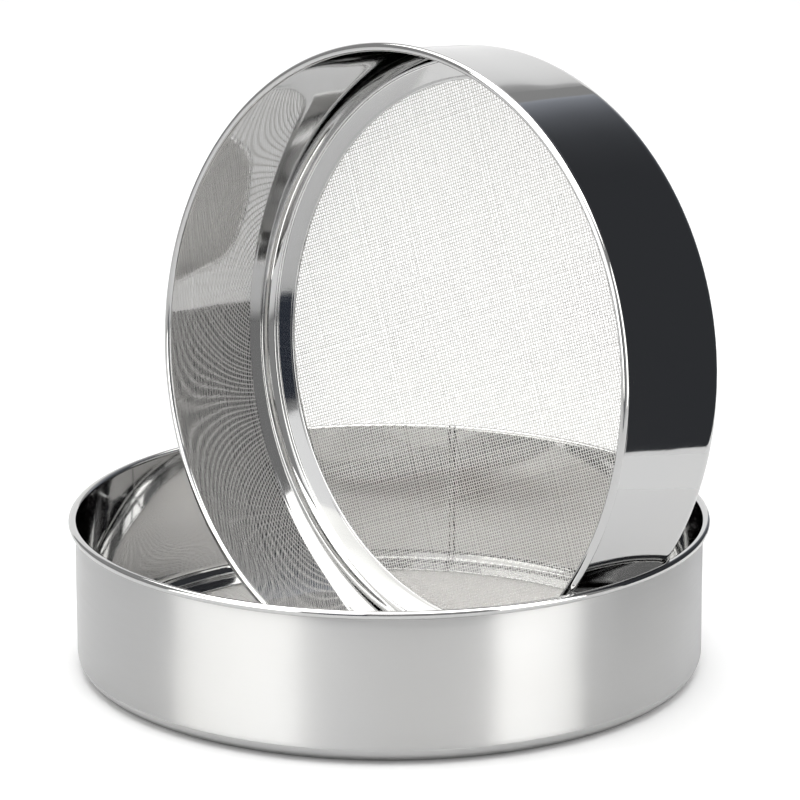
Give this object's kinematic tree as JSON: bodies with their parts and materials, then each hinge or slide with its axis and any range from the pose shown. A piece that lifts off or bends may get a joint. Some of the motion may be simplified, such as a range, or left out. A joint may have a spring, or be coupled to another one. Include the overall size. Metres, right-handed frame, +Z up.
{
  "type": "soil sieve",
  "caption": "Round stainless steel garden sieves with straight walls, rolled wired rims and woven mesh floors, the smaller standing upright inside the larger.",
  "frame": {"origin": "centre of the lower sieve's bottom, on the surface that it stands on", "axes": "+Z up along the lower sieve's axis; the upper sieve's open side faces -Y; +X completes the frame, and the upper sieve stands a little to +X"},
  "size_m": [0.215, 0.2044, 0.2029],
  "materials": {
    "polished_sheet": "mirror polished stainless sheet, fine lengthwise polish lines",
    "polished_ring": "polished stainless strip",
    "mesh_wire": "drawn bright stainless wire",
    "rim_wire_steel": "drawn steel wire, hidden in the rim",
    "weld_metal": "ground and lightly heat-dulled weld"
  },
  "bodies": {
    "lower_sieve": {"lower_drum": "polished_sheet", "lower_rim_wire": "rim_wire_steel", "lower_wall_seam": "weld_metal", "lower_mesh_warp": "mesh_wire", "lower_mesh_weft": "mesh_wire", "lower_clamp_ring": "polished_ring", "lower_ring_seam": "weld_metal"},
    "upper_sieve": {"upper_drum": "polished_sheet", "upper_rim_wire": "rim_wire_steel", "upper_wall_seam": "weld_metal", "upper_mesh_warp": "mesh_wire", "upper_mesh_weft": "mesh_wire", "upper_clamp_ring": "polished_ring", "upper_ring_seam": "weld_metal"}
  },
  "joints": [
    {"name": "upper_lift", "type": "slide", "parent": "lower_sieve", "child": "upper_sieve", "axis": [0, 0, 1], "range_m": [0, 0.06]}
  ]
}
